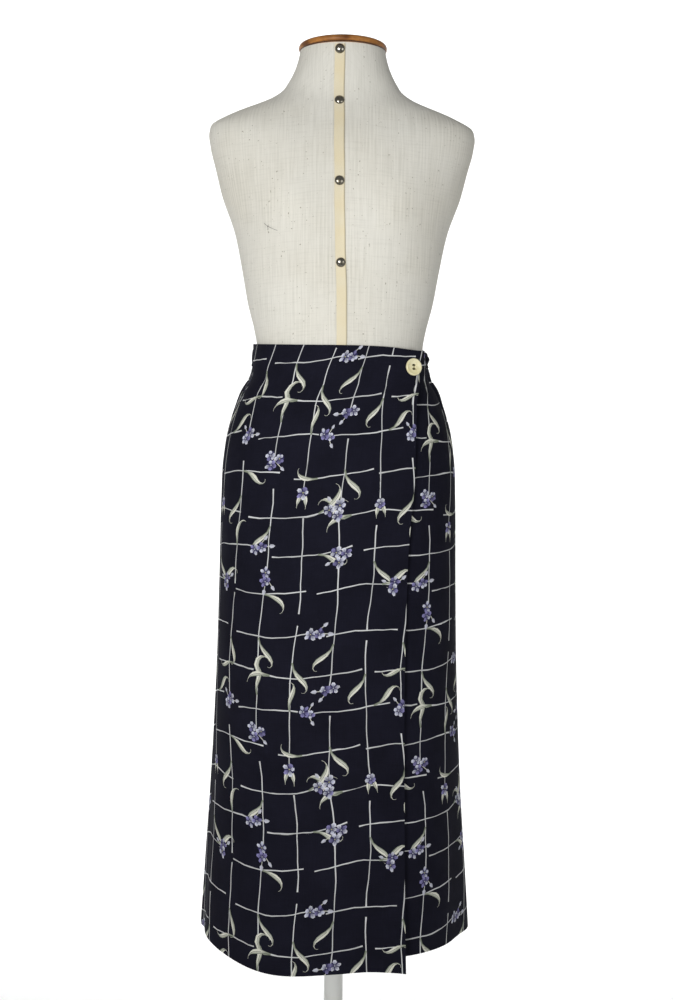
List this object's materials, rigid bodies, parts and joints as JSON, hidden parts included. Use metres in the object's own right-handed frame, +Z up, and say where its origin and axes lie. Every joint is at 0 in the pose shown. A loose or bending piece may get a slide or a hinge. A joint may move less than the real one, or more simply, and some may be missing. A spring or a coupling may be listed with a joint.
{
  "type": "wrap skirt on dress form",
  "caption": "Flared midi wrap skirt with a straight overlap edge, a buttoned waist and an elasticated back, worn by a limbless dress form on a pole stand with a round base.",
  "frame": {"origin": "centre of the round base's underside, on the floor", "axes": "+Z up along the pole, the skirt's front faces -Y, the overlap's free edge is on the +X side"},
  "size_m": [0.41, 0.41, 1.5209],
  "materials": {
    "printed_cloth": "matt woven dark navy cloth with a pale flowering-stem print",
    "button_shell": "pearly cream",
    "calico": "matt off-white calico with fine ribs",
    "cotton_tape": "matt cream cotton tape",
    "stud_metal": "worn domed upholstery studs",
    "neck_wood": "oiled brown wood",
    "pale_paint": "satin pale grey paint"
  },
  "bodies": {
    "root": {"front_overlap": "printed_cloth", "front_underlap": "printed_cloth", "back_panel": "printed_cloth", "elastic_waistband": "printed_cloth", "button": "button_shell", "form_torso": "calico", "neck_cap": "neck_wood", "centre_tape": "cotton_tape", "stud_1": "stud_metal", "stud_2": "stud_metal", "stud_3": "stud_metal", "stud_4": "stud_metal", "pole": "pale_paint", "collar": "pale_paint", "base": "pale_paint"}
  },
  "joints": []
}
